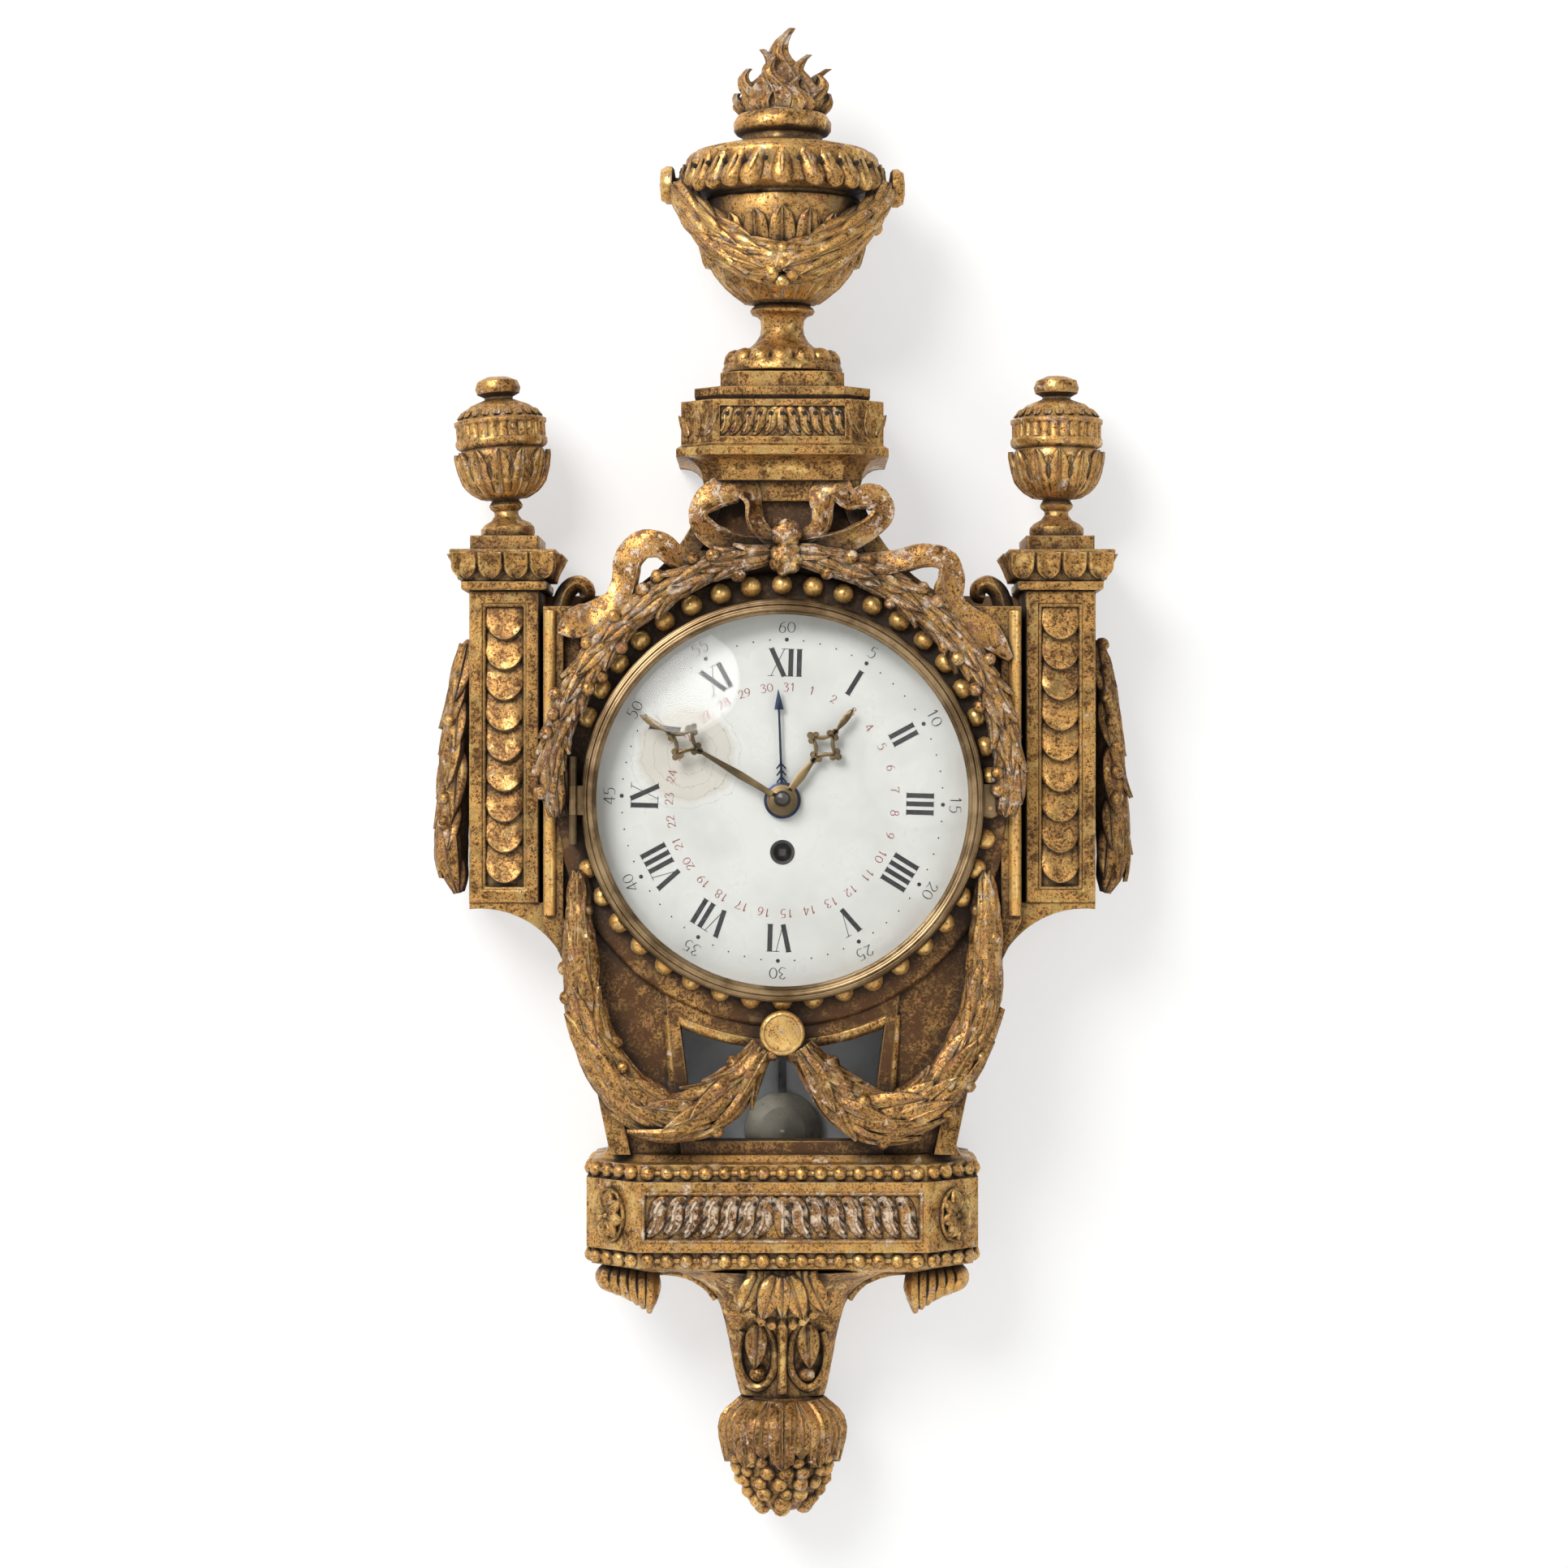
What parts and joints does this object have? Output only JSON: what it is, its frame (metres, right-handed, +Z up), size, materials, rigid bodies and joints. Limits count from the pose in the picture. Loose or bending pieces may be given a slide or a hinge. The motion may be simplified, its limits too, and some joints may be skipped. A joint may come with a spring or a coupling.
{
  "type": "cartel wall clock",
  "caption": "Carved giltwood wall clock with urns, garlands and ribbon bow, hinged glazed bezel, enamel dial with date hand, and a pendulum behind a window",
  "frame": {"origin": "where the dial's axis meets the wall, on the back face of the back board", "axes": "+Z up, +X to the right of someone facing the dial, +Y into the wall"},
  "size_m": [0.422, 0.1269, 0.9002],
  "materials": {
    "gilded_wood": "worn water gilding over red bole and gesso",
    "bare_wood": "bare pine, darkened with age",
    "brass": "turned, aged",
    "clear_glass": "clear",
    "enamel": "gloss white enamel",
    "steel": "blued and dull steel"
  },
  "bodies": {
    "case": {"back_board": "bare_wood", "case_carcass": "gilded_wood", "front_panel": "gilded_wood", "wing_brackets": "gilded_wood", "dial_surround": "gilded_wood", "pilasters": "gilded_wood", "capitals": "gilded_wood", "side_urn_right": "gilded_wood", "side_urn_left": "gilded_wood", "side_drops": "gilded_wood", "shoulder_scrolls": "gilded_wood", "pedestal": "gilded_wood", "urn_foot": "gilded_wood", "urn_bowl": "gilded_wood", "urn_cover": "gilded_wood", "urn_flame": "gilded_wood", "urn_knobs": "gilded_wood", "urn_garland": "gilded_wood", "ribbon_bow": "gilded_wood", "bow_knot": "gilded_wood", "laurel_branches": "gilded_wood", "festoons": "gilded_wood", "festoon_button": "gilded_wood", "base_plinth": "gilded_wood", "plinth_beads": "gilded_wood", "corner_rosettes": "gilded_wood", "console": "gilded_wood", "console_leaf": "gilded_wood", "console_volutes": "gilded_wood", "pendant": "gilded_wood", "hanger_plate": "steel", "window_glass": "clear_glass", "dial_seat_ring": "brass", "dial": "enamel", "bezel_hinge": "brass", "movement_back_plate": "brass", "movement_front_plate": "brass", "movement_drum": "brass", "movement_straps": "brass", "back_cock": "brass"},
    "bezel_door": {"bezel": "brass", "bezel_glass": "clear_glass"},
    "winding": {"winding_arbor": "steel"},
    "minute": {"minute_arbor": "brass", "minute_hand": "brass"},
    "hour": {"hour_pipe": "brass", "hour_hand": "brass"},
    "date": {"date_pipe": "brass", "date_hand": "steel"},
    "crutch": {"crutch": "steel"},
    "pendulum": {"pendulum_rod": "steel", "pendulum_bob": "brass"},
    "nut": {"rating_nut": "brass"}
  },
  "joints": [
    {"name": "bezel_swing", "type": "hinge", "parent": "case", "child": "bezel_door", "pos_m": [-0.124, -0.106, 0], "axis": [0, 0, -1], "range_deg": [0, 100]},
    {"name": "minute_turn", "type": "hinge", "parent": "case", "child": "minute", "pos_m": [0, -0.07, 0], "axis": [0, 1, 0], "continuous": true},
    {"name": "hour_turn", "type": "hinge", "parent": "case", "child": "hour", "pos_m": [0, -0.07, 0], "axis": [0, 1, 0], "continuous": true},
    {"name": "date_turn", "type": "hinge", "parent": "case", "child": "date", "pos_m": [0, -0.07, 0], "axis": [0, 1, 0], "continuous": true},
    {"name": "winding_turn", "type": "hinge", "parent": "case", "child": "winding", "pos_m": [0, -0.07, -0.031], "axis": [0, 1, 0], "range_deg": [0, 1800]},
    {"name": "pendulum_swing", "type": "hinge", "parent": "case", "child": "pendulum", "pos_m": [0, -0.0155, 0.045], "axis": [0, 1, 0], "range_deg": [-5, 5]},
    {"name": "crutch_swing", "type": "hinge", "parent": "case", "child": "crutch", "pos_m": [0, -0.024, 0.045], "axis": [0, 1, 0], "range_deg": [-5, 5]},
    {"name": "nut_turn", "type": "hinge", "parent": "pendulum", "child": "nut", "pos_m": [0, -0.0155, -0.23], "axis": [0, 0, 1], "range_deg": [-720, 720]}
  ],
  "couplings": [
    {"joint": "hour_turn", "follows": "minute_turn", "ratio": 0.083333},
    {"joint": "date_turn", "follows": "minute_turn", "ratio": 0.0013441},
    {"joint": "crutch_swing", "follows": "pendulum_swing", "ratio": 1}
  ]
}
